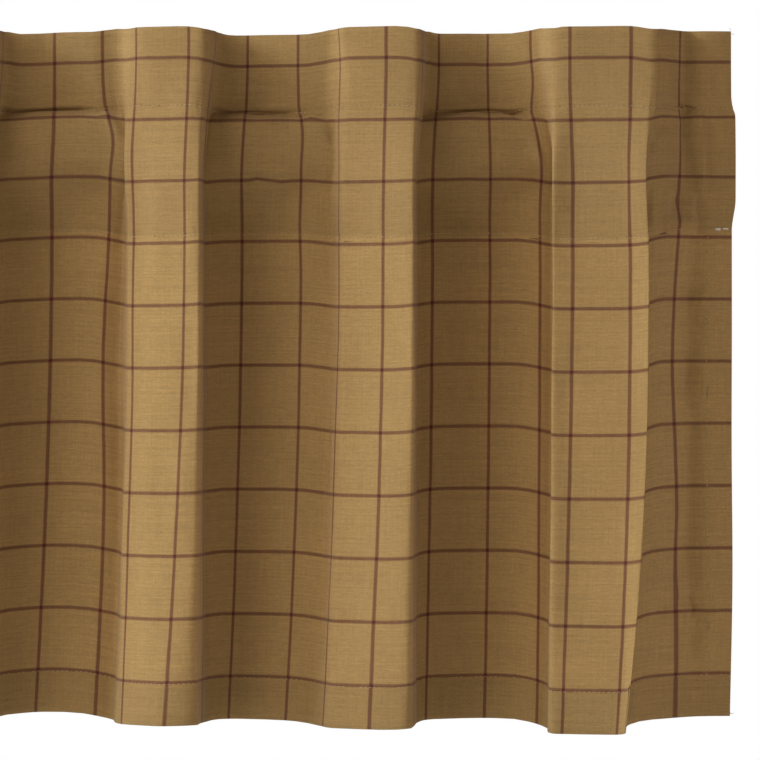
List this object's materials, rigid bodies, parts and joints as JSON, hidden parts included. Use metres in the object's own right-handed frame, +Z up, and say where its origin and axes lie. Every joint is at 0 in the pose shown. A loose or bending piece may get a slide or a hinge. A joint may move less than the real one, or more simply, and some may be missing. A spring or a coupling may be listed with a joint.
{
  "type": "window valance",
  "caption": "Short window curtain of checked cotton with a standing header above a rod pocket, hemmed below and at the sides, hanging in uneven upright folds",
  "frame": {"origin": "the middle of the top edge, above the line of the rod", "axes": "+X to the valance's right seen from the front, along the rod; the front faces -Y; +Z up"},
  "size_m": [1.1634, 0.0524, 0.4114],
  "materials": {
    "checked_cotton": "matt plain weave, golden brown with thin burgundy windowpane lines"
  },
  "bodies": {
    "root": {"valance": "checked_cotton"}
  },
  "joints": []
}
